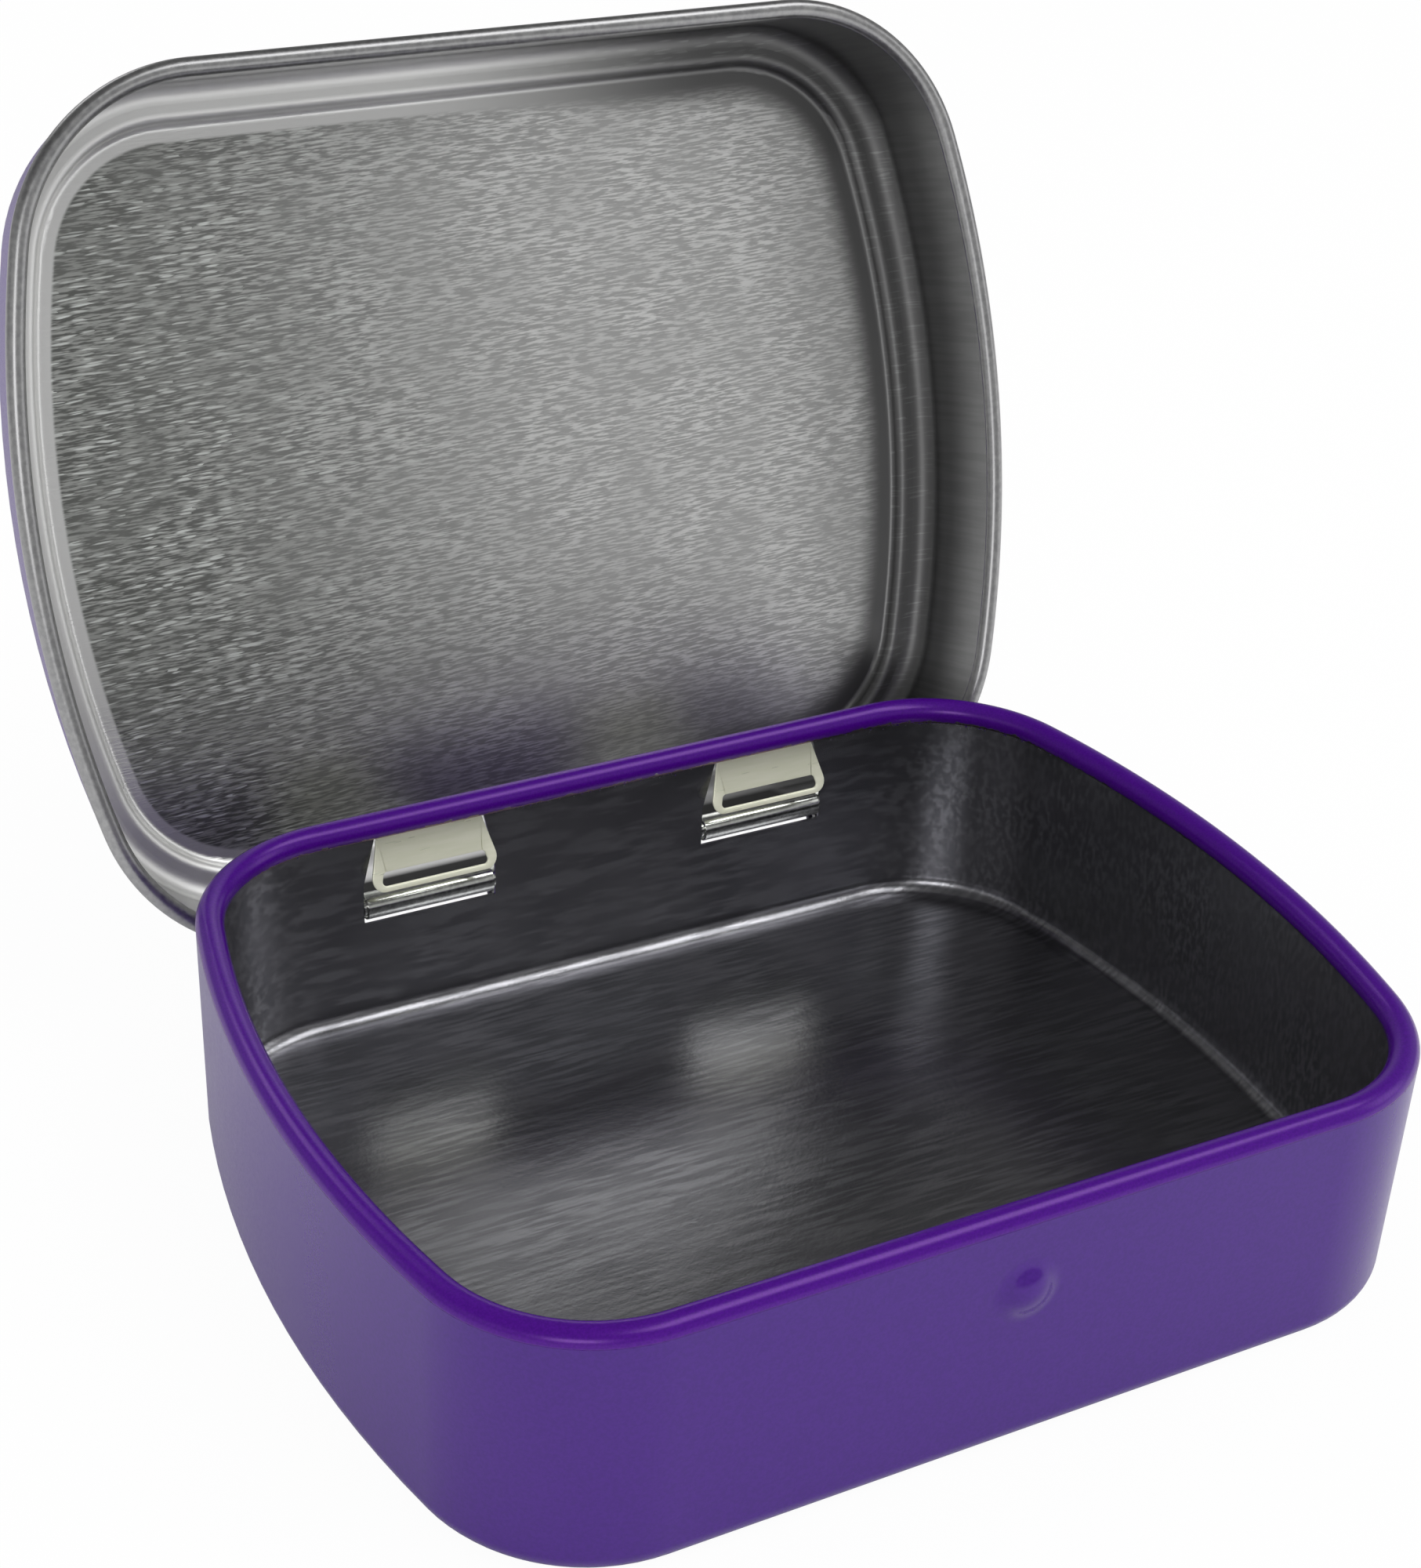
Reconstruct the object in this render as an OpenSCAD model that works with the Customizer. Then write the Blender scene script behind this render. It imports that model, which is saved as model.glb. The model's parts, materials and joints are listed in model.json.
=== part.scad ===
/* [Sheet] */
// Thickness of the tinplate
sheet_t = 0.25; // [0.2:0.01:0.35]

/* [Base] */
// Length of the base over its walls, between the middles of the bowed ends
base_l = 95; // [85:1:120]
// Depth of the base over its walls, front to back
base_d = 74.9; // [66:0.1:90]
// Height of the base to the top of its rolled rim
base_h = 23.5; // [22.5:0.5:30]
// Radius of the upright corners
corner_r = 15.35; // [12:0.05:20]
// Radius of the bowed left and right ends
end_bow_r = 110.575; // [90:0.025:400]
// Inner radius where the wall turns into the floor
floor_r = 1.8; // [1:0.1:3]
// Radius of the rim, which is rolled inwards
rim_r = 1.25; // [1:0.05:1.6]

/* [Lid] */
// Gap between the base wall and the lid skirt all round
lid_gap = 1.5; // [1.3:0.05:1.8]
// Radius of the lid's edge, which is rolled outwards
lid_rim_r = 0.85; // [0.6:0.05:0.85]
// Air between the base rim and the closed lid
lid_rest_gap = 1.5; // [0.2:0.1:2]
// Inner radius where the skirt turns into the ledge
lid_shoulder_r = 1.9; // [1:0.1:2.4]
// Width of the flat ledge around the raised panel
ledge_w = 0.7; // [0.4:0.1:3]
// Height of the raised panel above the ledge
panel_rise = 1.26; // [0.8:0.01:2]
// Radius of both bends of the step between ledge and panel
step_r = 1; // [0.8:0.05:2]
// Angle that the lid is opened by
open_angle = 107; // [100:1:110]

/* [Hinges] */
// Distance between the middles of the two hinges
hinge_pitch = 36; // [32:0.5:46]
// Height of the hinge axis above the table
hinge_z = 12.5; // [11.5:0.1:12.6]
// Width of each lid tab
tab_w = 13; // [9:0.5:16]
// Radius of the bar that each tab is rolled round
bar_r = 0.95; // [0.8:0.05:1.05]
// Running clearance between the bar and the rolled tab
bar_clear = 0.08; // [0.05:0.01:0.1]
// Clearance of the tab in its opening, at each end and above and below
tab_clear = 0.25; // [0.15:0.05:0.5]
// Width of the lug at each end of a bar
lug_w = 1.5; // [1:0.1:2.5]
// Height of the lid's rolled edge above the hinge axis
edge_rise = 1.07; // [1.07:0.01:1.2]

/* [Hoods] */
// Width of each hood along its top
hood_top_w = 10.4; // [7:0.1:11]
// Width of each hood along its foot
hood_foot_w = 13.4; // [11.5:0.1:15]
// Height of the strip at the top of a hood, still in line with the wall
hood_strip_h = 0.6; // [0.4:0.1:1]
// How far the foot of a hood stands off the wall
hood_reach = 2.1; // [1:0.1:2.5]
// Height of the hood's sloping plate
hood_fall = 4.9; // [4:0.1:5]
// Width of the arms beside a hood's window
hood_arm_w = 1.1; // [0.8:0.1:1.5]
// Height of a hood's window
hood_window_h = 1.3; // [1.1:0.1:2.2]
// Height of the lip below a hood's window
hood_lip_h = 0.5; // [0.4:0.1:1]
// Radius of the rounded corners at a hood's foot
hood_corner_r = 1.2; // [0.6:0.1:1.6]
// Radius of the rounded corners of a hood's window
window_corner_r = 0.4; // [0.2:0.05:0.5]

/* [Catch] */
// Radius of the catch pip, pressed outwards in the base's front wall
pip_r = 3.2; // [2.4:0.1:3.6]
// How far the catch pip stands off the wall
pip_rise = 1.1; // [0.6:0.1:1.1]
// Height of the middle of the catch pip above the table
pip_z = 16; // [15.5:0.1:17]
// Radius of the dimple opposite the pip, pressed outwards in the lid's skirt
dimple_r = 2; // [1.5:0.1:2.2]
// Depth of the lid's dimple
dimple_depth = 0.4; // [0.3:0.05:0.6]
// Height of the lid's dimple above the rolled edge
dimple_rise = 0.1; // [0.1:0.1:0.5]

/* [Hidden] */
$fn = 96;
overrun = 1;

// Plan of the walls: straight front and back, bowed ends, and corner arcs tangent to both
half_l = base_l / 2;
half_d = base_d / 2;
end_x = half_l - end_bow_r;
corner_y = half_d - corner_r;
centre_r = end_bow_r - corner_r;
corner_x = end_x + sqrt(centre_r * centre_r - corner_y * corner_y);

// The middle of the plan laps over the sections around it
core_lap = 2 * sheet_t;

// A point far out on the line where a corner arc meets a bowed end
reach_share = 1.5;
seam_x = end_x + reach_share * (corner_x - end_x);
seam_y = reach_share * corner_y;

// Rolled rims are left a little open where their edge comes back to the sheet
roll_angle = 300;
rim_z = base_h - rim_r;

// Hinge axis, in line with the inside of the skirt so that the tab rolls straight out of it
tab_in_r = bar_r + bar_clear;
tab_out_r = tab_in_r + sheet_t;
hinge_y = half_d + lid_gap - tab_in_r;
slot_w = tab_w + 2 * tab_clear;
slot_h = 2 * (tab_out_r + tab_clear);
lug_h = 2 * bar_r;
lug_reach = 0.75 * lid_gap;

// Closed lid: the middle of its rolled edge, its ledge and its panel
edge_z = hinge_z + edge_rise;
ledge_z = base_h + lid_rest_gap;
step_d = 2 * step_r - sheet_t;
step_angle = acos(1 - panel_rise / step_d);
step_run = step_d * sin(step_angle);
shoulder_u = lid_gap - lid_shoulder_r;
step_u = shoulder_u - ledge_w;
panel_u = step_u - step_run;
rim_cut_w = tab_w;
tall = ledge_z + panel_rise + 2 * overrun;

// Hoods hang just under the rolled rim
hood_top_z = base_h - 2 * rim_r - 1.2 * sheet_t;
hood_bend_z = hood_top_z - hood_strip_h;
hood_foot_z = hood_bend_z - hood_fall;
hood_lean_share = (hood_foot_w - hood_top_w) / (2 * (hood_strip_h + hood_fall));
hood_lean = atan(hood_lean_share);
corner_steps = 8;

// Middle of the lid's dimple, just above the rolled edge
dimple_z = edge_z + lid_rim_r + dimple_rise + dimple_r;

// Band of a ring from angle a0 to angle a1, less than a half turn
module band(r_in, r_out, a0, a1) {
    far = 3 * r_out;
    intersection() {
        difference() {
            circle(r = r_out);
            circle(r = r_in);
        }
        polygon([[0, 0], far * [cos(a0), sin(a0)], far * [cos((a0 + a1) / 2), sin((a0 + a1) / 2)],
                 far * [cos(a1), sin(a1)]]);
    }
}

// Roll of sheet that starts at angle a0 and is left open where it would close
module roll(r_out, a0, turn = 1) {
    far = 3 * r_out;
    a1 = a0 + turn * roll_angle;
    difference() {
        circle(r = r_out);
        circle(r = r_out - sheet_t);
        polygon([[0, 0], far * [cos(a0), sin(a0)], far * [cos(a0 - turn * 30), sin(a0 - turn * 30)],
                 far * [cos(a1), sin(a1)]]);
    }
}

// Upright prism over an outline, taller than the tin
module prism(points) {
    translate([0, 0, -overrun])
        linear_extrude(height = tall + overrun) polygon(points);
}

// A corner of the plan, from the bowed end to the straight back
module plan_corner() {
    intersection() {
        translate([corner_x, corner_y, 0])
            rotate_extrude() translate([corner_r, 0]) children();
        prism([[corner_x, corner_y], [seam_x, seam_y], [seam_x, seam_x], [corner_x, seam_x]]);
    }
}

// The bowed right end of the plan
module plan_end() {
    intersection() {
        translate([end_x, 0, 0])
            rotate([0, 0, 180])
                rotate_extrude() translate([end_bow_r, 0]) children();
        prism([[end_x, 0], [seam_x, -seam_y], [seam_x, seam_y]]);
    }
}

// Carries a section (x outwards from the wall's outer face, y up) once round the plan
module round_the_plan() {
    for (side = [0, 180])
        rotate([0, 0, side]) {
            translate([-corner_x, half_d, 0])
                rotate([90, 0, 90])
                    linear_extrude(height = 2 * corner_x) children();
            plan_corner() children();
            mirror([1, 0, 0]) plan_corner() children();
            plan_end() children();
        }
}

// The middle of the plan, inside the corner centres
module plan_core() {
    intersection() {
        translate([end_x, 0]) circle(r = centre_r + core_lap);
        translate([-end_x, 0]) circle(r = centre_r + core_lap);
        translate([-half_l, -corner_y - core_lap]) square([base_l, 2 * (corner_y + core_lap)]);
    }
}

// Places a section (x backwards, y up) along a width centred on x
module across(x, w) {
    translate([x - w / 2, 0, 0])
        rotate([90, 0, 90])
            linear_extrude(height = w) children();
}

// Turns the closed lid about the hinge axis to where it stands open
module opened() {
    translate([0, hinge_y, hinge_z])
        rotate([-open_angle, 0, 0])
            translate([0, -hinge_y, -hinge_z]) children();
}

// Ball whose cap of radius r stands off the face y = 0 towards -Y by the given rise
function cap_r(r, rise) = (r * r + rise * rise) / (2 * rise);
module cap_ball(r, rise, shrink = 0) {
    translate([0, cap_r(r, rise) - rise, 0]) sphere(r = cap_r(r, rise) - shrink);
}

// The cap alone, down to the middle of the sheet under the face
module cap(r, rise) {
    intersection() {
        cap_ball(r, rise);
        translate([-2 * r, -2 * rise, -2 * r]) cube([4 * r, 2 * rise + sheet_t / 2, 4 * r]);
    }
}

module base_section() {
    turn_r = floor_r + sheet_t;
    translate([sheet_t - corner_r, 0]) square([corner_r - sheet_t - turn_r, sheet_t]);
    translate([-turn_r, turn_r]) band(floor_r, turn_r, -90, 0);
    translate([-sheet_t, turn_r]) square([sheet_t, rim_z - turn_r]);
}

module base_body() {
    color([0.36, 0.27, 0.55])
    difference() {
        union() {
            round_the_plan() base_section();
            linear_extrude(height = sheet_t) plan_core();
            translate([0, -half_d, pip_z]) cap(pip_r, pip_rise);
        }
        translate([0, -half_d, pip_z]) cap_ball(pip_r, pip_rise, sheet_t);
        for (side = [-1, 1])
            hinge_opening(side);
    }
}

module base_rim() {
    color([0.27, 0.06, 0.52])
    round_the_plan() translate([-rim_r, rim_z]) roll(rim_r, 0);
}

module hinge_bar(side) {
    x = side * hinge_pitch / 2;
    across(x, slot_w) translate([hinge_y, hinge_z]) circle(r = bar_r);
    for (end = [-1, 1])
        across(x + end * (slot_w + lug_w) / 2, lug_w)
            translate([half_d, hinge_z - lug_h / 2]) square([lug_reach, lug_h]);
}

module hinge_bar_left() { color([0.75, 0.76, 0.76]) hinge_bar(-1); }
module hinge_bar_right() { color([0.75, 0.76, 0.76]) hinge_bar(1); }

// Opening in the back wall that a hood is bent out of and a lid tab passes through
module hinge_opening(side) {
    low = hinge_z - slot_h / 2;
    top_half = hood_top_w / 2 + tab_clear;
    translate([side * hinge_pitch / 2, half_d + overrun, 0])
        rotate([90, 0, 0])
            linear_extrude(height = sheet_t + 2 * overrun)
                polygon([[-slot_w / 2, low], [slot_w / 2, low], [slot_w / 2, hood_foot_z],
                         [top_half, hood_top_z], [-top_half, hood_top_z], [-slot_w / 2, hood_foot_z]]);
}

// Round corner between angles a0 and a1, tangent to a hood's leaning side; half is that side's distance
// from the middle at the height of the corner's centre
function corner_points(half, z, r, a0, a1) =
    [for (k = [0:corner_steps])
        let(a = a0 + (a1 - a0) * k / corner_steps) [half - r / cos(hood_lean) + r * cos(a), z + r * sin(a)]];

// Right half of a hood's outline and its mirror image make the whole outline
function with_mirror(half_points) = let(last = len(half_points) - 1)
    concat(half_points, [for (k = [0:last]) [-half_points[last - k][0], half_points[last - k][1]]]);
function hood_half(z) = hood_foot_w / 2 - hood_lean_share * (z - hood_foot_z);

// Plate with a window, bent inwards out of the back wall
module hinge_hood(side) {
    foot_round_z = hood_foot_z + hood_corner_r;
    window_low_z = hood_foot_z + hood_lip_h + window_corner_r;
    window_high_z = hood_foot_z + hood_lip_h + hood_window_h - window_corner_r;
    x = side * hinge_pitch / 2;
    outline = concat(corner_points(hood_half(foot_round_z), foot_round_z, hood_corner_r, -90, hood_lean),
                     [[hood_top_w / 2, hood_top_z]]);
    window = concat(corner_points(hood_half(window_low_z) - hood_arm_w, window_low_z, window_corner_r,
                                  -90, hood_lean),
                    corner_points(hood_half(window_high_z) - hood_arm_w, window_high_z, window_corner_r,
                                  hood_lean, 90));
    difference() {
        intersection() {
            across(x, hood_foot_w)
                polygon([[half_d - sheet_t, hood_top_z], [half_d, hood_top_z], [half_d, hood_bend_z],
                         [half_d - hood_reach + sheet_t, hood_foot_z], [half_d - hood_reach, hood_foot_z],
                         [half_d - sheet_t, hood_bend_z]]);
            translate([x, half_d + overrun, 0])
                rotate([90, 0, 0])
                    linear_extrude(height = half_d) polygon(with_mirror(outline));
        }
        translate([x, half_d + overrun, 0])
            rotate([90, 0, 0])
                linear_extrude(height = half_d) polygon(with_mirror(window));
    }
}

module hinge_hood_left() { color([0.8, 0.81, 0.78]) hinge_hood(-1); }
module hinge_hood_right() { color([0.8, 0.81, 0.78]) hinge_hood(1); }

module lid_section() {
    shoulder_z = ledge_z - lid_shoulder_r;
    translate([lid_gap, edge_z]) square([sheet_t, shoulder_z - edge_z]);
    translate([shoulder_u, shoulder_z]) band(lid_shoulder_r, lid_shoulder_r + sheet_t, 0, 90);
    translate([step_u, ledge_z]) square([ledge_w, sheet_t]);
    translate([step_u, ledge_z + step_r]) band(step_r - sheet_t, step_r, -90 - step_angle, -90);
    translate([panel_u, ledge_z + panel_rise + sheet_t - step_r])
        band(step_r - sheet_t, step_r, 90 - step_angle, 90);
    translate([sheet_t - corner_r, ledge_z + panel_rise]) square([corner_r - sheet_t + panel_u, sheet_t]);
}

module lid_body() {
    color([0.66, 0.67, 0.68])
    opened()
    difference() {
        union() {
            round_the_plan() lid_section();
            translate([0, 0, ledge_z + panel_rise]) linear_extrude(height = sheet_t) plan_core();
            translate([0, -half_d - lid_gap - sheet_t, dimple_z]) cap(dimple_r, dimple_depth);
        }
        translate([0, -half_d - lid_gap - sheet_t, dimple_z]) cap_ball(dimple_r, dimple_depth, sheet_t);
    }
}

module lid_rim() {
    color([0.74, 0.75, 0.76])
    opened()
    difference() {
        round_the_plan() translate([lid_gap + lid_rim_r, edge_z]) roll(lid_rim_r, 180);
        for (side = [-1, 1])
            across(side * hinge_pitch / 2, rim_cut_w)
                translate([half_d, edge_z - 2 * lid_rim_r]) square([2 * lid_gap + 2 * lid_rim_r, 4 * lid_rim_r]);
    }
}

module hinge_tab(side) {
    opened()
    across(side * hinge_pitch / 2, tab_w) {
        translate([half_d + lid_gap, hinge_z]) square([sheet_t, edge_rise]);
        translate([hinge_y, hinge_z]) roll(tab_out_r, 0, -1);
    }
}

module hinge_tab_left() { color([0.82, 0.83, 0.84]) hinge_tab(-1); }
module hinge_tab_right() { color([0.82, 0.83, 0.84]) hinge_tab(1); }

base_body();
base_rim();
hinge_bar_left();
hinge_bar_right();
hinge_hood_left();
hinge_hood_right();
lid_body();
lid_rim();
hinge_tab_left();
hinge_tab_right();
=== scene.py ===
import bmesh
import bpy
import json
import math
from mathutils import Matrix, Vector


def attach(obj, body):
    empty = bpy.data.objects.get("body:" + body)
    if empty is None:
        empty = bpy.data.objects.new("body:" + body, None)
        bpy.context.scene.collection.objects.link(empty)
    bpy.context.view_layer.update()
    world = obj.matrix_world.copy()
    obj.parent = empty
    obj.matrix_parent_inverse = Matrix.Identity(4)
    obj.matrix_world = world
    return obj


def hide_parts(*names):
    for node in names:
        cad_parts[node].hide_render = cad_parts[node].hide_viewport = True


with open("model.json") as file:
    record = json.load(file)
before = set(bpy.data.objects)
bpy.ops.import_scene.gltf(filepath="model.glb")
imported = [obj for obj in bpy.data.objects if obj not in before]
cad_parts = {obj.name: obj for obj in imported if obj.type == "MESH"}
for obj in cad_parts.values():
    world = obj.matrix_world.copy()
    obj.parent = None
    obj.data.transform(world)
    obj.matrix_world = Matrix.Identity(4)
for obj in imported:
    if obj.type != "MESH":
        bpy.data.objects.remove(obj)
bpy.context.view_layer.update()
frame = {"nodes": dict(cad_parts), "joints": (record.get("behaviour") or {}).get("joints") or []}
scene = bpy.context.scene
mm = 0.001
toMm = 1000

# the lid's own frame is the shut one: it turns about the hinge axis
hinge = frame["joints"][0]
hingePoint = Vector(hinge["pos_m"])
openTurn = -math.radians(hinge["range_deg"][1])

# plan of the base's walls in mm: straight front and back, bowed ends, and corner arcs tangent to both
planShape = dict(length=95.0, depth=74.9, corner=15.35, bow=110.575)
bowX = planShape["length"] / 2 - planShape["bow"]
cornerY = planShape["depth"] / 2 - planShape["corner"]
cornerX = bowX + math.sqrt((planShape["bow"] - planShape["corner"]) ** 2 - cornerY ** 2)


def srgb(red, green, blue):
    values = [v / 255 for v in (red, green, blue)]
    return tuple(v / 12.92 if v <= 0.04045 else ((v + 0.055) / 1.055) ** 2.4 for v in values) + (1.0,)


# node helpers
def addNode(tree, kind, **settings):
    node = tree.nodes.new(kind)
    for name, value in settings.items():
        setattr(node, name, value)
    return node


def feed(tree, node, **sources):
    # a source is a socket to link or a plain value; underscores stand for spaces
    for name, source in sources.items():
        socket = node.inputs[int(name[1:])] if name[1:].isdigit() else node.inputs[name.replace("_", " ")]
        if isinstance(source, bpy.types.NodeSocket):
            tree.links.new(source, socket)
        else:
            socket.default_value = source
    return node


def mathNode(tree, operation, a, b=0.0, c=0.0):
    node = addNode(tree, "ShaderNodeMath", operation=operation)
    return feed(tree, node, i0=a, i1=b, i2=c).outputs[0]


def fade(tree, value, low, high, toLow=0.0, toHigh=1.0):
    node = addNode(tree, "ShaderNodeMapRange", interpolation_type="SMOOTHSTEP")
    feed(tree, node, Value=value, From_Min=low, From_Max=high, To_Min=toLow, To_Max=toHigh)
    return node.outputs["Result"]


def mixColour(tree, factor, a, b):
    node = addNode(tree, "ShaderNodeMix", data_type="RGBA")
    feed(tree, node, i0=factor, i6=a, i7=b)
    return node.outputs[2]


def mixValue(tree, factor, a, b):
    node = addNode(tree, "ShaderNodeMix", data_type="FLOAT")
    feed(tree, node, i0=factor, i2=a, i3=b)
    return node.outputs[0]


def reach(tree, x, y):
    flat = feed(tree, addNode(tree, "ShaderNodeCombineXYZ"), X=x, Y=y)
    node = addNode(tree, "ShaderNodeVectorMath", operation="LENGTH")
    return feed(tree, node, i0=flat.outputs[0]).outputs["Value"]


def planDistance(tree, x, y):
    # distance outwards from the base's wall, so it is negative over the lid's panel
    x, y = mathNode(tree, "ABSOLUTE", x), mathNode(tree, "ABSOLUTE", y)
    bow = mathNode(tree, "SUBTRACT", reach(tree, mathNode(tree, "SUBTRACT", x, bowX), y), planShape["bow"])
    straight = mathNode(tree, "SUBTRACT", y, planShape["depth"] / 2)
    pastX, pastY = mathNode(tree, "SUBTRACT", x, cornerX), mathNode(tree, "SUBTRACT", y, cornerY)
    corner = mathNode(tree, "SUBTRACT", reach(tree, pastX, pastY), planShape["corner"])
    aboveSeam = mathNode(tree, "SUBTRACT", mathNode(tree, "MULTIPLY", pastY, cornerX - bowX),
                         mathNode(tree, "MULTIPLY", pastX, cornerY))
    inCorner = mathNode(tree, "MULTIPLY", mathNode(tree, "GREATER_THAN", pastX, 0.0),
                        mathNode(tree, "GREATER_THAN", aboveSeam, 0.0))
    return mixValue(tree, inCorner, mathNode(tree, "MAXIMUM", bow, straight), corner)


def mapping(tree, vector, scale=(1, 1, 1), turn=(0, 0, 0), shift=(0, 0, 0)):
    node = addNode(tree, "ShaderNodeMapping")
    return feed(tree, node, Vector=vector, Location=shift, Rotation=turn, Scale=scale).outputs[0]


def newGroup(name, values, outputs):
    # a group reads one vector and some values, and puts out values
    group = bpy.data.node_groups.new(name, "ShaderNodeTree")
    group.interface.new_socket("Vector", in_out="INPUT", socket_type="NodeSocketVector")
    for label in values:
        group.interface.new_socket(label, in_out="INPUT", socket_type="NodeSocketFloat")
    for label in outputs:
        group.interface.new_socket(label, in_out="OUTPUT", socket_type="NodeSocketFloat")
    return group, group.nodes.new("NodeGroupInput"), group.nodes.new("NodeGroupOutput")


def useGroup(tree, group, **sources):
    node = addNode(tree, "ShaderNodeGroup", node_tree=group)
    return feed(tree, node, **sources)


# shared effects
grainLook = dict(streakDetail=2.0, streakRough=0.55, streakLow=0.42, streakHigh=0.62, middle=0.5,
                 wanderScale=0.35, wanderDetail=2.0, wanderReach=2.5, cellScale=0.8, shortest=0.2,
                 dashEnd=0.6, dashHeart=0.3, dimmest=0.4,
                 patchScale=0.11, patchDetail=2.0, patchRough=0.5, patchLow=0.35, patchHigh=0.65)


def makeGrainGroup(look):
    # short streaks along X, left by the rolling mill
    group, source, sink = newGroup("millGrain", ["Streak Length", "Streak Height", "Patchiness"],
                                   ["Streaks", "Dashes", "Patches"])
    split = feed(group, addNode(group, "ShaderNodeSeparateXYZ"), Vector=source.outputs["Vector"])
    along = mathNode(group, "DIVIDE", split.outputs["X"], source.outputs["Streak Length"])
    up = mathNode(group, "DIVIDE", split.outputs["Y"], source.outputs["Streak Height"])
    stretched = feed(group, addNode(group, "ShaderNodeCombineXYZ"), X=along, Y=up, Z=split.outputs["Z"])
    streaks = feed(group, addNode(group, "ShaderNodeTexNoise"), Vector=stretched.outputs[0],
                   Scale=1.0, Detail=look["streakDetail"], Roughness=look["streakRough"])
    # one bright dash in each cell, as long and as bright as the cell's own random values
    wander = feed(group, addNode(group, "ShaderNodeTexNoise"), Vector=stretched.outputs[0],
                  Scale=look["wanderScale"], Detail=look["wanderDetail"])
    bent = feed(group, addNode(group, "ShaderNodeVectorMath", operation="MULTIPLY_ADD"),
                i0=wander.outputs["Color"], i1=(look["wanderReach"], look["wanderReach"], 0.0),
                i2=stretched.outputs[0])
    cells = feed(group, addNode(group, "ShaderNodeTexVoronoi", voronoi_dimensions="2D"),
                 Vector=bent.outputs[0], Scale=look["cellScale"])
    chance = feed(group, addNode(group, "ShaderNodeSeparateColor"), Color=cells.outputs["Color"]).outputs
    shorter = mathNode(group, "MULTIPLY", chance["Green"], look["shortest"])
    dash = fade(group, mathNode(group, "ADD", cells.outputs["Distance"], shorter),
                look["dashEnd"], look["dashHeart"])
    patches = feed(group, addNode(group, "ShaderNodeTexNoise"), Vector=source.outputs["Vector"],
                   Scale=look["patchScale"], Detail=look["patchDetail"], Roughness=look["patchRough"])
    patchy = fade(group, patches.outputs["Fac"], look["patchLow"], look["patchHigh"])
    strength = mixValue(group, source.outputs["Patchiness"], 1.0, patchy)
    sharp = fade(group, streaks.outputs["Fac"], look["streakLow"], look["streakHigh"])
    centred = mathNode(group, "SUBTRACT", sharp, look["middle"])
    scaled = mathNode(group, "MULTIPLY_ADD", centred, strength, look["middle"])
    group.links.new(scaled, sink.inputs["Streaks"])
    sparse = mathNode(group, "MULTIPLY", dash, fade(group, chance["Red"], look["dimmest"], 1.0))
    group.links.new(mathNode(group, "MULTIPLY", sparse, strength), sink.inputs["Dashes"])
    group.links.new(patches.outputs["Fac"], sink.inputs["Patches"])
    return group


unevenLook = dict(waveDetail=1.0, waveRough=0.4, toothDetail=2.0, toothRough=0.6,
                  blotchLow=0.3, blotchHigh=0.7)


def makeUnevenGroup(look):
    # very shallow waves of thin sheet and fine surface tooth, as one height
    group, source, sink = newGroup("thinSheet", ["Wave", "Tooth", "Tooth Share"], ["Height", "Blotch"])
    wave = feed(group, addNode(group, "ShaderNodeTexNoise"), Vector=source.outputs["Vector"],
                Scale=source.outputs["Wave"], Detail=look["waveDetail"], Roughness=look["waveRough"])
    tooth = feed(group, addNode(group, "ShaderNodeTexNoise"), Vector=source.outputs["Vector"],
                 Scale=source.outputs["Tooth"], Detail=look["toothDetail"], Roughness=look["toothRough"])
    height = mixValue(group, source.outputs["Tooth Share"], wave.outputs["Fac"], tooth.outputs["Fac"])
    group.links.new(height, sink.inputs["Height"])
    group.links.new(tooth.outputs["Fac"], sink.inputs["Blotch"])
    return group


millGrain = makeGrainGroup(grainLook)
thinSheet = makeUnevenGroup(unevenLook)
print("shared effects built")


# materials
def newMaterial(name):
    material = bpy.data.materials.new(name)
    material.use_nodes = True
    tree = material.node_tree
    shader = tree.nodes["Principled BSDF"]
    place = addNode(tree, "ShaderNodeTexCoord").outputs["Object"]
    return material, tree, shader, mapping(tree, place, scale=(toMm,) * 3)


def bumped(tree, height, distance, strength=1.0):
    node = addNode(tree, "ShaderNodeBump")
    return feed(tree, node, Height=height, Distance=distance, Strength=strength).outputs[0]


def blotched(tree, uneven):
    return fade(tree, uneven.outputs["Blotch"], unevenLook["blotchLow"], unevenLook["blotchHigh"])


lacquerLook = dict(tone=srgb(68, 16, 130), deep=srgb(62, 12, 122),
                   rim=srgb(74, 6, 138), rimDeep=srgb(64, 2, 126))
metalLook = dict(inside=(0.36, 0.36, 0.38, 1), dark=(0.22, 0.22, 0.235, 1), edge=(0.42, 0.42, 0.42, 1),
                 edgeDark=(0.34, 0.34, 0.345, 1), bent=(0.78, 0.80, 0.76, 1), bentDark=(0.64, 0.65, 0.62, 1),
                 # the hood tones are painted sheen on bare metal
                 hood=(1.0, 1.0, 0.82, 1), hoodDark=(0.95, 0.96, 0.76, 1))


def makeWallLacquer(look):
    material, tree, shader, place = newMaterial("violetLacquer")
    uneven = useGroup(tree, thinSheet, Vector=place, Wave=look["wave"], Tooth=look["tooth"],
                      Tooth_Share=look["toothShare"])
    feed(tree, shader, Base_Color=mixColour(tree, blotched(tree, uneven), lacquerLook["deep"],
                                            lacquerLook["tone"]),
         Metallic=look["metallic"],
         Roughness=fade(tree, uneven.outputs["Blotch"], look["mottleLow"], look["mottleHigh"],
                        look["smooth"], look["dull"]),
         Normal=bumped(tree, uneven.outputs["Height"], look["bump"], look["bumpStrength"]))
    return material


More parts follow.
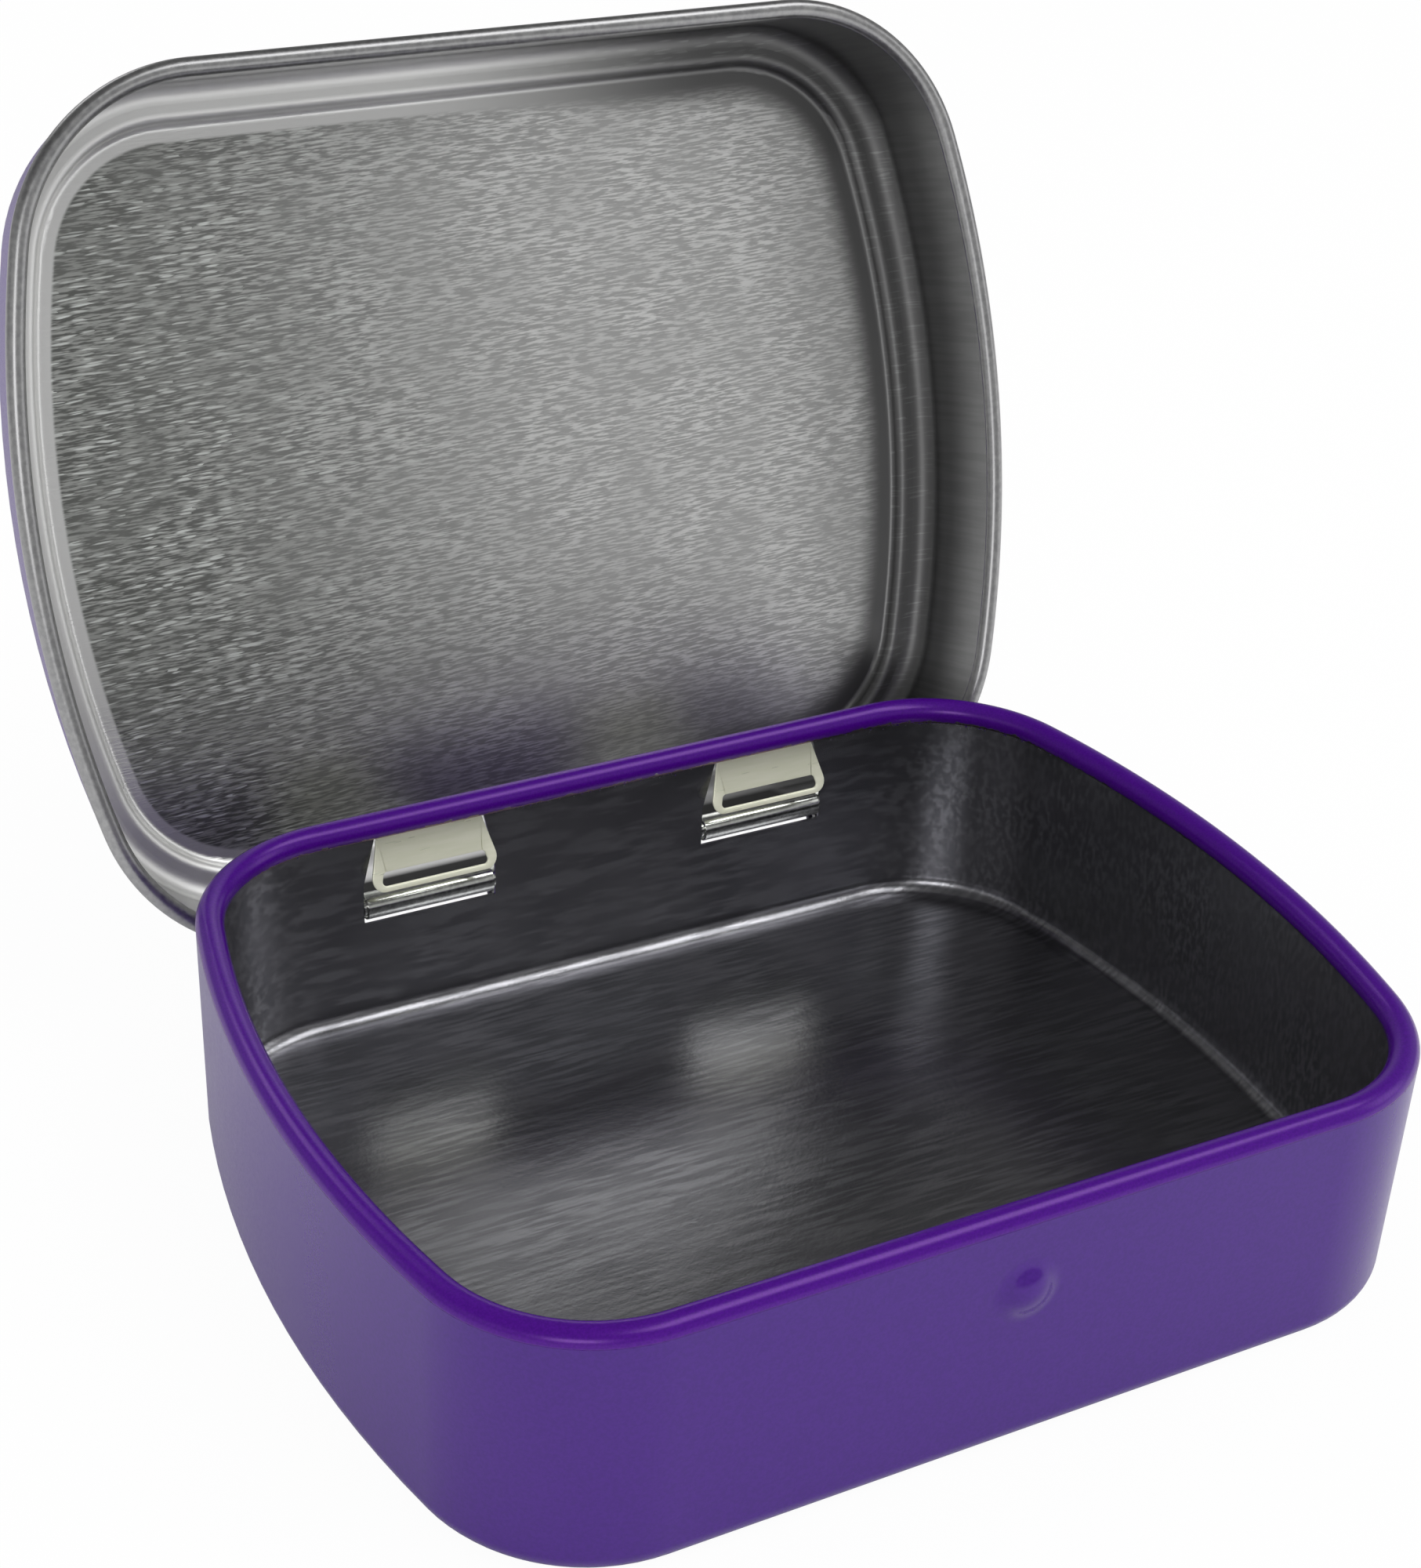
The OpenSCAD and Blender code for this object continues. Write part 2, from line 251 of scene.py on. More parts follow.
def makeRimLacquer(look):
    # the lacquer stops in a ragged border low on the inner side of the roll
    material, tree, shader, place = newMaterial("rimLacquer")
    uneven = useGroup(tree, thinSheet, Vector=place, Wave=look["wave"], Tooth=look["tooth"],
                      Tooth_Share=look["toothShare"])
    height = feed(tree, addNode(tree, "ShaderNodeSeparateXYZ"), Vector=place).outputs["Z"]
    tatter = feed(tree, addNode(tree, "ShaderNodeTexNoise"), Vector=place, Scale=look["tatter"],
                  Detail=look["tatterDetail"], Roughness=look["tatterRough"])
    ragged = mathNode(tree, "MULTIPLY_ADD", tatter.outputs["Fac"], look["borderWave"], height)
    painted = fade(tree, ragged, look["borderZ"], look["borderZ"] + look["borderSoft"])
    lacquer = mixColour(tree, blotched(tree, uneven), lacquerLook["rimDeep"], lacquerLook["rim"])
    feed(tree, shader, Base_Color=mixColour(tree, painted, metalLook["dark"], lacquer),
         Metallic=mixValue(tree, painted, 1.0, look["metallic"]), Roughness=look["roughness"],
         Normal=bumped(tree, uneven.outputs["Height"], look["bump"], look["bumpStrength"]))
    shader.inputs["Specular Tint"].default_value = look["glint"]
    return material


def makeBaseInside(look):
    # bare metal, with the lacquer's ragged border just under the rim
    material, tree, shader, place = newMaterial("bareInside")
    uneven = useGroup(tree, thinSheet, Vector=place, Wave=look["wave"], Tooth=look["tooth"],
                      Tooth_Share=look["toothShare"])
    grain = useGroup(tree, millGrain, Vector=place, Streak_Length=look["streakLength"],
                     Streak_Height=look["streakHeight"], Patchiness=look["patchiness"])
    height = feed(tree, addNode(tree, "ShaderNodeSeparateXYZ"), Vector=place).outputs["Z"]
    ragged = mathNode(tree, "MULTIPLY_ADD", uneven.outputs["Blotch"], look["borderWave"], height)
    spill = fade(tree, ragged, look["borderZ"], look["borderZ"] + look["borderSoft"])
    metal = mixColour(tree, grain.outputs["Streaks"], metalLook["dark"], metalLook["inside"])
    feed(tree, shader, Base_Color=mixColour(tree, spill, metal, lacquerLook["deep"]),
         Metallic=mixValue(tree, spill, 1.0, look["spillMetallic"]),
         Roughness=mixValue(tree, spill, look["roughness"], look["spillRough"]),
         Normal=bumped(tree, uneven.outputs["Height"], look["bump"], look["bumpStrength"]))
    return material


def makeLidInside(look):
    # bare metal of the lid, read in the shut lid's frame so that the grain follows the panel
    material, tree, shader, place = newMaterial("lidInside")
    back = Matrix.Rotation(-openTurn, 3, "X")
    hingeMm = hingePoint * toMm
    shift = hingeMm - back @ hingeMm
    shut = mapping(tree, place, turn=(-openTurn, 0, 0), shift=shift)
    split = feed(tree, addNode(tree, "ShaderNodeSeparateXYZ"), Vector=shut)
    onPanel = fade(tree, split.outputs["Z"], look["panelZ"] - look["panelSoft"],
                   look["panelZ"] - look["panelSlack"])
    onSkirt = fade(tree, split.outputs["Z"], look["skirtZ"] + look["skirtSoft"], look["skirtZ"])
    grain = useGroup(tree, millGrain, Vector=mapping(tree, shut, turn=(0, 0, look["grainTurn"])),
                     Streak_Length=look["streakLength"], Streak_Height=look["streakHeight"],
                     Patchiness=look["patchiness"])
    # the mill grain is the metal's own, and painted reflection changes it by side: bright dashes stand out
    # at the left, and the right is paler with streaks alone
    leftness = fade(tree, split.outputs["X"], look["contrastRight"], look["contrastLeft"],
                    look["leastContrast"], 1.0)
    side = fade(tree, split.outputs["X"], look["sideRight"], look["sideLeft"])
    dark = mixColour(tree, leftness, look["rightDark"], look["panelDark"])
    light = mixColour(tree, leftness, look["rightLight"], look["panelLight"])
    ground = mixColour(tree, grain.outputs["Streaks"], dark, light)
    smudge = fade(tree, grain.outputs["Patches"], grainLook["patchLow"], grainLook["patchHigh"],
                  look["smudge"], 1.0)
    toned = mixColour(tree, smudge, look["panelDark"], ground)
    dashes = mathNode(tree, "MULTIPLY", grain.outputs["Dashes"], leftness)
    textured = mixColour(tree, dashes, toned, look["panelDash"])
    # the panel ends in a smooth margin with painted light on it: a painted sheen at the left and painted
    # shade at the right
    outwards = planDistance(tree, split.outputs["X"], split.outputs["Y"])
    marginLow = mixValue(tree, side, look["marginU"] - look["marginFadeRight"],
                         look["marginU"] - look["marginFadeLeft"])
    margin = fade(tree, outwards, marginLow, look["marginU"])
    smooth = mixColour(tree, side, look["ledgeShaded"], look["ledgeLit"])
    panel = mixColour(tree, margin, textured, smooth)
    ticked = mathNode(tree, "MULTIPLY", grain.outputs["Dashes"], look["tickShare"])
    ticks = mixColour(tree, ticked, smooth, look["panelDash"])
    # upright marks that drawing leaves on the skirt
    upright = mapping(tree, shut, scale=(1, 1, look["ribStretch"]))
    ribs = feed(tree, addNode(tree, "ShaderNodeTexNoise"), Vector=upright,
                Scale=look["ribScale"], Detail=look["ribDetail"]).outputs["Fac"]
    # painted light: the skirt is given a paler tone at the left and a darker one at the right
    skirtSide = mixColour(tree, side, look["skirtShaded"], look["skirtLit"])
    ribbed = fade(tree, ribs, look["ribLow"], look["ribHigh"], 0.0, look["ribShare"])
    skirt = mixColour(tree, ribbed, skirtSide, look["panelDash"])
    # painted shade: the skirt turns dark and dull near the hinges, low at the back of the shut lid
    awayX = mathNode(tree, "ABSOLUTE", split.outputs["X"])
    nearHinge = fade(tree, awayX, look["foldX"] + look["foldSoft"], look["foldX"])
    inFold = mathNode(tree, "MULTIPLY",
                      fade(tree, split.outputs["Y"], look["foldY"] - look["foldSoft"], look["foldY"]),
                      fade(tree, split.outputs["Z"], look["foldZ"] + look["foldSoft"], look["foldZ"]))
    foldShadeMask = mathNode(tree, "MULTIPLY", mathNode(tree, "MULTIPLY", nearHinge, inFold), look["foldShadeShare"])
    skirt = mixColour(tree, foldShadeMask, skirt, look["foldShadeTone"])
    rest = mixColour(tree, onSkirt, ticks, skirt)
    uneven = useGroup(tree, thinSheet, Vector=shut, Wave=look["wave"], Tooth=look["tooth"],
                      Tooth_Share=look["toothShare"])
    rough = mathNode(tree, "MULTIPLY", onPanel, mathNode(tree, "MULTIPLY", leftness, look["streakDepth"]))
    depth = mixValue(tree, rough, uneven.outputs["Height"], grain.outputs["Streaks"])
    skirtRough = mixValue(tree, foldShadeMask, look["skirtRough"], look["foldShadeRough"])
    restRough = mixValue(tree, onSkirt, look["ledgeRough"], skirtRough)
    feed(tree, shader, Base_Color=mixColour(tree, onPanel, rest, panel),
         Metallic=mixValue(tree, foldShadeMask, 1.0, look["foldShadeMetallic"]),
         Roughness=mixValue(tree, onPanel, restRough, look["panelRough"]),
         Normal=bumped(tree, depth, look["bump"], look["bumpStrength"]))
    return material


plainLook = dict(tooth=1.8, toothShare=0.02, mottleLow=0.25, mottleHigh=0.75, smoother=0.03, duller=0.04,
                 bump=0.00002, bumpStrength=0.2)


def makePlainMetal(name, dark, light, roughness, wave, metallic=1.0, stretch=1.0):
    # below 1, stretch draws the marks out along X
    look = plainLook
    material, tree, shader, place = newMaterial(name)
    uneven = useGroup(tree, thinSheet, Vector=mapping(tree, place, scale=(stretch, 1, 1)), Wave=wave,
                      Tooth=look["tooth"], Tooth_Share=look["toothShare"])
    feed(tree, shader, Base_Color=mixColour(tree, blotched(tree, uneven), dark, light), Metallic=metallic,
         Roughness=fade(tree, uneven.outputs["Blotch"], look["mottleLow"], look["mottleHigh"],
                        roughness - look["smoother"], roughness + look["duller"]),
         Normal=bumped(tree, uneven.outputs["Height"], look["bump"], look["bumpStrength"]))
    return material


# heights and lengths in mm, bump depths in m
wallLacquer = makeWallLacquer(dict(
    wave=0.05, tooth=3.0, toothShare=0.01, metallic=0.1,
    mottleLow=0.2, mottleHigh=0.8, smooth=0.20, dull=0.26,
    bump=0.00005, bumpStrength=0.5))
rimLacquer = makeRimLacquer(dict(
    borderZ=22.25, borderWave=1.4, borderSoft=0.06, tatter=1.1, tatterDetail=3.0, tatterRough=0.6,
    glint=(1.0, 0.62, 0.78, 1),
    wave=0.12, tooth=5.0, toothShare=0.06, metallic=0.12, roughness=0.27, bump=0.00003, bumpStrength=0.4))
baseInside = makeBaseInside(dict(
    borderZ=21.4, borderWave=2.2, borderSoft=0.15, streakLength=6.0, streakHeight=0.5, patchiness=0.6,
    wave=0.06, tooth=2.2, toothShare=0.12, roughness=0.27, spillRough=0.35, spillMetallic=0.3,
    bump=0.00015, bumpStrength=0.7))
lidInside = makeLidInside(dict(
    panelZ=26.26, panelSoft=0.25, panelSlack=0.02, skirtZ=23.1, skirtSoft=1.2,
    grainTurn=math.radians(1.5), streakLength=1.7, streakHeight=0.2, patchiness=0.35, streakDepth=0.12,
    contrastLeft=-42.0, contrastRight=14.0, leastContrast=0.08, smudge=0.9, sideLeft=-8.0, sideRight=28.0,
    marginU=-3.5, marginFadeLeft=0.35, marginFadeRight=3.2, tickShare=0.1,
    ribStretch=0.06, ribScale=1.6, ribDetail=2.0, ribLow=0.35, ribHigh=0.65, ribShare=0.04,
    # the fold values place the painted shade at the hinges and set how dark and dull it is
    foldX=25.0, foldY=36.0, foldZ=24.5, foldSoft=2.0, foldShadeShare=1.0, foldShadeRough=0.8, foldShadeMetallic=0.1,
    panelDark=(0.18, 0.185, 0.175, 1), panelLight=(0.50, 0.51, 0.49, 1), panelDash=(0.96, 0.99, 0.96, 1),
    # the right tones carry the painted reflection that makes the right of the panel paler
    rightDark=(0.58, 0.58, 0.575, 1), rightLight=(1.0, 1.0, 0.99, 1),
    # the ledge tones are painted shade at the right and painted sheen at the left
    ledgeShaded=(0.17, 0.17, 0.17, 1), ledgeLit=(0.86, 0.86, 0.85, 1),
    # the two skirt tones are painted sheen at the left and painted shade at the right; the last colour is
    # the painted shade at the hinges
    skirtShaded=(0.21, 0.21, 0.212, 1), skirtLit=(0.42, 0.42, 0.42, 1), foldShadeTone=(0.03, 0.03, 0.03, 1),
    skirtRough=0.3, ledgeRough=0.45, panelRough=0.36,
    wave=0.045, tooth=1.4, toothShare=0.1, bump=0.0001, bumpStrength=0.5))
brightEdge = makePlainMetal("brightEdge", metalLook["edgeDark"], metalLook["edge"],
                            roughness=0.34, wave=0.15)
bentMetal = makePlainMetal("bentMetal", metalLook["bentDark"], metalLook["bent"],
                           roughness=0.16, wave=0.3)
# painted sheen: the hoods are bare metal given a pale cream colour and little metallic, so they look as
# bright as lit metal
hoodMetal = makePlainMetal("hoodMetal", metalLook["hoodDark"], metalLook["hood"],
                           roughness=0.3, wave=0.1, metallic=0.3, stretch=0.1)
print("materials built")


def finishedMesh(piece):
    # the mesh as the piece's modifiers leave it
    return bpy.data.meshes.new_from_object(piece.evaluated_get(bpy.context.evaluated_depsgraph_get()))


# rolled rims, swept along the plan by Geometry Nodes; lengths in mm and angles in degrees
rimShape = dict(sheet=0.25, turn=300.0, arcSteps=28, runStep=0.25, rollSteps=40, weld=0.002,
                gapSlack=0.01)
baseRimShape = dict(outset=-1.25, height=22.25, radius=1.25, start=0.0)
lidRimShape = dict(outset=2.35, height=13.57, radius=0.85, start=180.0, tabHalf=6.5, tabPitch=36.0)


def socketId(group, name):
    return next(item.identifier for item in group.interface.items_tree
                if item.item_type == "SOCKET" and item.in_out == "INPUT" and item.name == name)


def makeRimTree():
    group = bpy.data.node_groups.new("rolledRim", "GeometryNodeTree")
    floats = ("Half Length", "Half Depth", "Corner Radius", "Bow Radius", "Outset", "Height",
              "Roll Radius", "Start Angle", "Roll Turn", "Run Step", "Gap Half", "Gap Centre")
    for name in floats:
        group.interface.new_socket(name, in_out="INPUT", socket_type="NodeSocketFloat")
    group.interface.new_socket("Arc Steps", in_out="INPUT", socket_type="NodeSocketInt")
    group.interface.new_socket("Material", in_out="INPUT", socket_type="NodeSocketMaterial")
    group.interface.new_socket("Geometry", in_out="OUTPUT", socket_type="NodeSocketGeometry")
    source = group.nodes.new("NodeGroupInput").outputs
    sink = group.nodes.new("NodeGroupOutput")

    def calc(operation, a, b=0.0):
        return mathNode(group, operation, a, b)

    # centres of the bowed end and of the corner, as in the sheet's own plan
    endX = calc("SUBTRACT", source["Half Length"], source["Bow Radius"])
    cornerY = calc("SUBTRACT", source["Half Depth"], source["Corner Radius"])
    centreR = calc("SUBTRACT", source["Bow Radius"], source["Corner Radius"])
    angle = calc("ARCSINE", calc("DIVIDE", cornerY, centreR))
    cornerX = calc("ADD", endX, calc("MULTIPLY", centreR, calc("COSINE", angle)))

    def arc(radius, start, sweep, x, y):
        node = addNode(group, "GeometryNodeCurveArc", mode="RADIUS")
        feed(group, node, Resolution=source["Arc Steps"], Radius=radius,
             Start_Angle=start, Sweep_Angle=sweep)
        place = feed(group, addNode(group, "ShaderNodeCombineXYZ"), X=x, Y=y, Z=source["Height"])
        return feed(group, addNode(group, "GeometryNodeTransform"), Geometry=node.outputs["Curve"],
                    Translation=place.outputs[0]).outputs[0]

    bow = arc(calc("ADD", source["Bow Radius"], source["Outset"]), 0.0, angle, endX, 0.0)
    corner = arc(calc("ADD", source["Corner Radius"], source["Outset"]), angle,
                 calc("SUBTRACT", math.pi / 2, angle), cornerX, cornerY)
    runY = calc("ADD", source["Half Depth"], source["Outset"])
    runStart = feed(group, addNode(group, "ShaderNodeCombineXYZ"), X=cornerX, Y=runY, Z=source["Height"])
    runEnd = feed(group, addNode(group, "ShaderNodeCombineXYZ"), X=0.0, Y=runY, Z=source["Height"])
    line = feed(group, addNode(group, "GeometryNodeCurvePrimitiveLine"),
                Start=runStart.outputs[0], End=runEnd.outputs[0])
    runCount = calc("ADD", calc("ROUND", calc("DIVIDE", cornerX, source["Run Step"])), 1.0)
    run = feed(group, addNode(group, "GeometryNodeResampleCurve"), Curve=line.outputs[0], Count=runCount)
    quarter = addNode(group, "GeometryNodeJoinGeometry")
    for part in (bow, corner, run.outputs[0]):
        group.links.new(part, quarter.inputs[0])

    # four mirrored quarters welded into one loop
    def mirrored(geometry, scale):
        whole = addNode(group, "GeometryNodeJoinGeometry")
        other = feed(group, addNode(group, "GeometryNodeTransform"), Geometry=geometry, Scale=scale)
        group.links.new(geometry, whole.inputs[0])
        group.links.new(other.outputs[0], whole.inputs[0])
        return whole.outputs[0]

    edges = feed(group, addNode(group, "GeometryNodeCurveToMesh"), Curve=quarter.outputs[0]).outputs[0]
    loop = mirrored(mirrored(edges, (-1, 1, 1)), (1, -1, 1))
    welded = feed(group, addNode(group, "GeometryNodeMergeByDistance"), Geometry=loop,
                  Distance=rimShape["weld"]).outputs[0]
    spot = feed(group, addNode(group, "ShaderNodeSeparateXYZ"),
                Vector=addNode(group, "GeometryNodeInputPosition").outputs[0])
    off = calc("ABSOLUTE", calc("SUBTRACT", calc("ABSOLUTE", spot.outputs["X"]), source["Gap Centre"]))
    atBack = calc("GREATER_THAN", spot.outputs["Y"], 0.0)
    inGap = calc("MULTIPLY", calc("LESS_THAN", off, source["Gap Half"]), atBack)
    cut = feed(group, addNode(group, "GeometryNodeDeleteGeometry", domain="POINT"),
               Geometry=welded, Selection=inGap)
    path = feed(group, addNode(group, "GeometryNodeMeshToCurve"), Mesh=cut.outputs[0]).outputs[0]
    upright = feed(group, addNode(group, "GeometryNodeSetCurveNormal", mode="Z_UP"), Curve=path).outputs[0]
    section = addNode(group, "GeometryNodeCurveArc", mode="RADIUS")
    feed(group, section, Resolution=rimShape["rollSteps"], Radius=source["Roll Radius"],
         Start_Angle=source["Start Angle"], Sweep_Angle=source["Roll Turn"])
    swept = feed(group, addNode(group, "GeometryNodeCurveToMesh"), Curve=upright,
                 Profile_Curve=section.outputs["Curve"]).outputs[0]
    smooth = feed(group, addNode(group, "GeometryNodeSetShadeSmooth"), Geometry=swept).outputs[0]
    real = feed(group, addNode(group, "GeometryNodeRealizeInstances"), Geometry=smooth).outputs[0]
    painted = feed(group, addNode(group, "GeometryNodeSetMaterial"), Geometry=real,
                   Material=source["Material"]).outputs[0]
    group.links.new(painted, sink.inputs[0])
    return group


rimTree = makeRimTree()


def makeRim(name, shape, material, opened=False):
    sheet = rimShape["sheet"]
    holder = bpy.data.objects.new(name + "Raw", bpy.data.meshes.new(name + "Raw"))
    scene.collection.objects.link(holder)
    modifier = holder.modifiers.new("rim", "NODES")
    modifier.node_group = rimTree
    values = {
        "Half Length": planShape["length"] / 2, "Half Depth": planShape["depth"] / 2,
        "Corner Radius": planShape["corner"], "Bow Radius": planShape["bow"], "Outset": shape["outset"],
        "Height": shape["height"], "Roll Radius": shape["radius"] - sheet / 2,
        "Start Angle": -math.radians(shape["start"]), "Roll Turn": -math.radians(rimShape["turn"]),
        "Run Step": rimShape["runStep"], "Gap Half": shape.get("tabHalf", 0.0) - rimShape["gapSlack"],
        "Gap Centre": shape.get("tabPitch", 0.0) / 2, "Arc Steps": rimShape["arcSteps"],
        "Material": material}
    for label, value in values.items():
        modifier[socketId(rimTree, label)] = value
    wall = holder.modifiers.new("sheet", "SOLIDIFY")
    wall.thickness = sheet
    wall.offset = 0.0
    mesh = finishedMesh(holder)
    bpy.data.objects.remove(holder)
    mesh.transform(Matrix.Scale(mm, 4))
    if opened:
        toAxis, fromAxis = Matrix.Translation(hingePoint), Matrix.Translation(-hingePoint)
        mesh.transform(toAxis @ Matrix.Rotation(openTurn, 4, "X") @ fromAxis)
    mesh.name = name
    piece = bpy.data.objects.new(name, mesh)
    scene.collection.objects.link(piece)
    return piece


baseRim = makeRim("baseRim", baseRimShape, rimLacquer)
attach(baseRim, "base")
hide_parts("base_rim")
lidRim = makeRim("lidRim", lidRimShape, brightEdge, opened=True)
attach(lidRim, "lid")
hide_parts("lid_rim")
print("rims built")


# sheets, painted outside and bare inside; the weld is in m, heights and slack in mm, crease in degrees
sheetLook = dict(weld=2e-6, crease=32, slack=0.01, flat=0.99999, baseHeartZ=12, shutHeartZ=17)


def copyNode(name, node, *materials):
    mesh = frame["nodes"][node].data.copy()
    mesh.name = name
    mesh.materials.clear()
    for material in materials:
        mesh.materials.append(material)
    piece = bpy.data.objects.new(name, mesh)
    scene.collection.objects.link(piece)
    return piece


def makeSheet(name, node, outside, inside, heart):
    # heart is a point in the hollow: faces that look towards it are the inside
    piece = copyNode(name, node, outside, inside)
    for face in piece.data.polygons:
        face.material_index = 1 if face.normal.dot(heart - face.center) > 0 else 0
    return piece


def shadeCreased(mesh, creaseAngle):
    if mesh.has_custom_normals:
        mesh.attributes.remove(mesh.attributes["custom_normal"])
    mesh.shade_smooth()
    mesh.set_sharp_from_angle(angle=math.radians(creaseAngle))


# catch pip of the base, eased into the wall by two arcs of one angle; lengths in mm
pipShape = dict(radius=3.2, pressedRise=1.1, rise=1.0, height=16.0, crownShare=0.56, cuts=3)


def easePip(mesh, look):
    lean = 2 * math.atan(look["rise"] / look["radius"])
    both = look["radius"] / math.sin(lean)
    crown, foot = both * look["crownShare"], both * (1 - look["crownShare"])
    wall = -planShape["depth"] / 2
    ball = (look["radius"] ** 2 + look["pressedRise"] ** 2) / (2 * look["pressedRise"])
    work = bmesh.new()
    work.from_mesh(mesh)
    bmesh.ops.remove_doubles(work, verts=work.verts, dist=sheetLook["weld"])

    def radiusAt(point):
        return math.hypot(point.x / mm, point.z / mm - look["height"])

    def standsOff(face):
        middle = face.calc_center_median()
        onFront = radiusAt(middle) < look["radius"] and middle.y < 0
        return onFront and abs(face.normal.y) < sheetLook["flat"]

    faces = [face for face in work.faces if standsOff(face)]
    edges = list({edge for face in faces for edge in face.edges})
    bmesh.ops.subdivide_edges(work, edges=edges, cuts=look["cuts"], use_grid_fill=True)
    for vertex in work.verts:
        away = radiusAt(vertex.co)
        depth = vertex.co.y / mm - wall
        slack = sheetLook["slack"]
        inPip = -look["pressedRise"] - slack < depth < rimShape["sheet"] + slack
        if away > look["radius"] or not inPip:
            continue
        # the outer face starts at the wall and the inner one a sheet behind it
        outer = math.sqrt(ball ** 2 - away ** 2) - ball + look["pressedRise"]
        behind = 0.0 if abs(-depth - outer) < rimShape["sheet"] / 2 else rimShape["sheet"]
        if away < crown * math.sin(lean):
            stand = look["rise"] - crown + math.sqrt(crown ** 2 - away ** 2)
        else:
            stand = foot - math.sqrt(foot ** 2 - (look["radius"] - away) ** 2)
        vertex.co.y = (wall + behind - stand) * mm
    work.to_mesh(mesh)
    work.free()


def smoothFaces(piece, creaseAngle):
    shadeCreased(piece.data, creaseAngle)
    even = piece.modifiers.new("even", "WEIGHTED_NORMAL")
    even.keep_sharp = True
    piece.data = finishedMesh(piece)
    piece.modifiers.clear()


baseHeart = Vector((0, 0, sheetLook["baseHeartZ"] * mm))
shutHeart = Vector((0, 0, sheetLook["shutHeartZ"] * mm))
lidHeart = hingePoint + Matrix.Rotation(openTurn, 3, "X") @ (shutHeart - hingePoint)
baseSheet = makeSheet("baseSheet", "base_body", wallLacquer, baseInside, baseHeart)
easePip(baseSheet.data, pipShape)
smoothFaces(baseSheet, sheetLook["crease"])
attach(baseSheet, "base")
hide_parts("base_body")
lidSheet = makeSheet("lidSheet", "lid_body", wallLacquer, lidInside, lidHeart)
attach(lidSheet, "lid")
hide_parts("lid_body")
print("sheets built")


# hinges, with edges softened by bending; widths in mm, angle in degrees
hingeLook = dict(hoodBevel=0.1, barBevel=0.06, tabBevel=0.06, steps=3, bevelAngle=35)


def soften(name, node, body, width, metal):
    piece = copyNode(name, node, metal)
    weld = piece.modifiers.new("weld", "WELD")
    weld.merge_threshold = sheetLook["weld"]
    bevel = piece.modifiers.new("bevel", "BEVEL")
    bevel.width = width * mm
    bevel.segments = hingeLook["steps"]
    bevel.limit_method = "ANGLE"
    bevel.angle_limit = math.radians(hingeLook["bevelAngle"])
    bevel.use_clamp_overlap = True
    mesh = finishedMesh(piece)
    piece.modifiers.clear()
    piece.data = mesh
    shadeCreased(mesh, sheetLook["crease"])
    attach(piece, body)
    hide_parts(node)


for side in ("left", "right"):
    soften("hood" + side.title(), "hinge_hood_" + side, "base", hingeLook["hoodBevel"], hoodMetal)
    soften("bar" + side.title(), "hinge_bar_" + side, "base", hingeLook["barBevel"], bentMetal)
    soften("tab" + side.title(), "hinge_tab_" + side, "lid", hingeLook["tabBevel"], bentMetal)
print("hinges built")


# floor, light and camera
stageLook = dict(floorSize=6.0, floorWhite=0.9, cameraShare=0.96, glossShare=0.05, worldLight=0.7,
                 horizonGloss=0.24, bandGloss=0.42, zenithGloss=0.12,
                 bandRise=0.3, zenithStart=0.35, zenithEnd=0.6)


def makeFloor(look):
    material = bpy.data.materials.new("paleFloor")
    material.use_nodes = True
    tree = material.node_tree
    tree.nodes.clear()
    white = (look["floorWhite"],) * 3 + (1,)
    matte = feed(tree, addNode(tree, "ShaderNodeBsdfDiffuse"), Color=white)
    glow = feed(tree, addNode(tree, "ShaderNodeEmission"), Color=(1, 1, 1, 1), Strength=1.0)
    rays = addNode(tree, "ShaderNodeLightPath").outputs
    share = mathNode(tree, "MAXIMUM", mathNode(tree, "MULTIPLY", rays["Is Camera Ray"], look["cameraShare"]),
                     mathNode(tree, "MULTIPLY", rays["Is Glossy Ray"], look["glossShare"]))
    lit = feed(tree, addNode(tree, "ShaderNodeMixShader"), i0=share, i1=matte.outputs[0], i2=glow.outputs[0])
    clear = addNode(tree, "ShaderNodeBsdfTransparent")
    facing = addNode(tree, "ShaderNodeNewGeometry").outputs["Backfacing"]
    whole = feed(tree, addNode(tree, "ShaderNodeMixShader"), i0=facing, i1=lit.outputs[0],
                 i2=clear.outputs[0])
    out = addNode(tree, "ShaderNodeOutputMaterial")
    tree.links.new(whole.outputs[0], out.inputs["Surface"])
    half = look["floorSize"] / 2
    mesh = bpy.data.meshes.new("floor")
    corners = [(-half, -half, 0), (half, -half, 0), (half, half, 0), (-half, half, 0)]
    mesh.from_pydata(corners, [], [(0, 1, 2, 3)])
    mesh.materials.append(material)
    floor = bpy.data.objects.new("floor", mesh)
    scene.collection.objects.link(floor)


makeFloor(stageLook)

world = bpy.data.worlds.new("studio")
scene.world = world
world.use_nodes = True
worldTree = world.node_tree
rays = addNode(worldTree, "ShaderNodeLightPath").outputs
# polished metal sees a dim room with a paler band above the horizon, and the camera sees plain white
heading = addNode(worldTree, "ShaderNodeTexCoord").outputs["Generated"]
rise = feed(worldTree, addNode(worldTree, "ShaderNodeSeparateXYZ"), Vector=heading).outputs["Z"]
lowRoom = fade(worldTree, rise, 0.0, stageLook["bandRise"],
               stageLook["horizonGloss"], stageLook["bandGloss"])
overhead = fade(worldTree, rise, stageLook["zenithStart"], stageLook["zenithEnd"])
room = mixValue(worldTree, overhead, lowRoom, stageLook["zenithGloss"])
lit = mixValue(worldTree, rays["Is Glossy Ray"], stageLook["worldLight"], room)
feed(worldTree, worldTree.nodes["Background"], Color=(1, 1, 1, 1),
     Strength=mixValue(worldTree, rays["Is Camera Ray"], lit, 1.0))

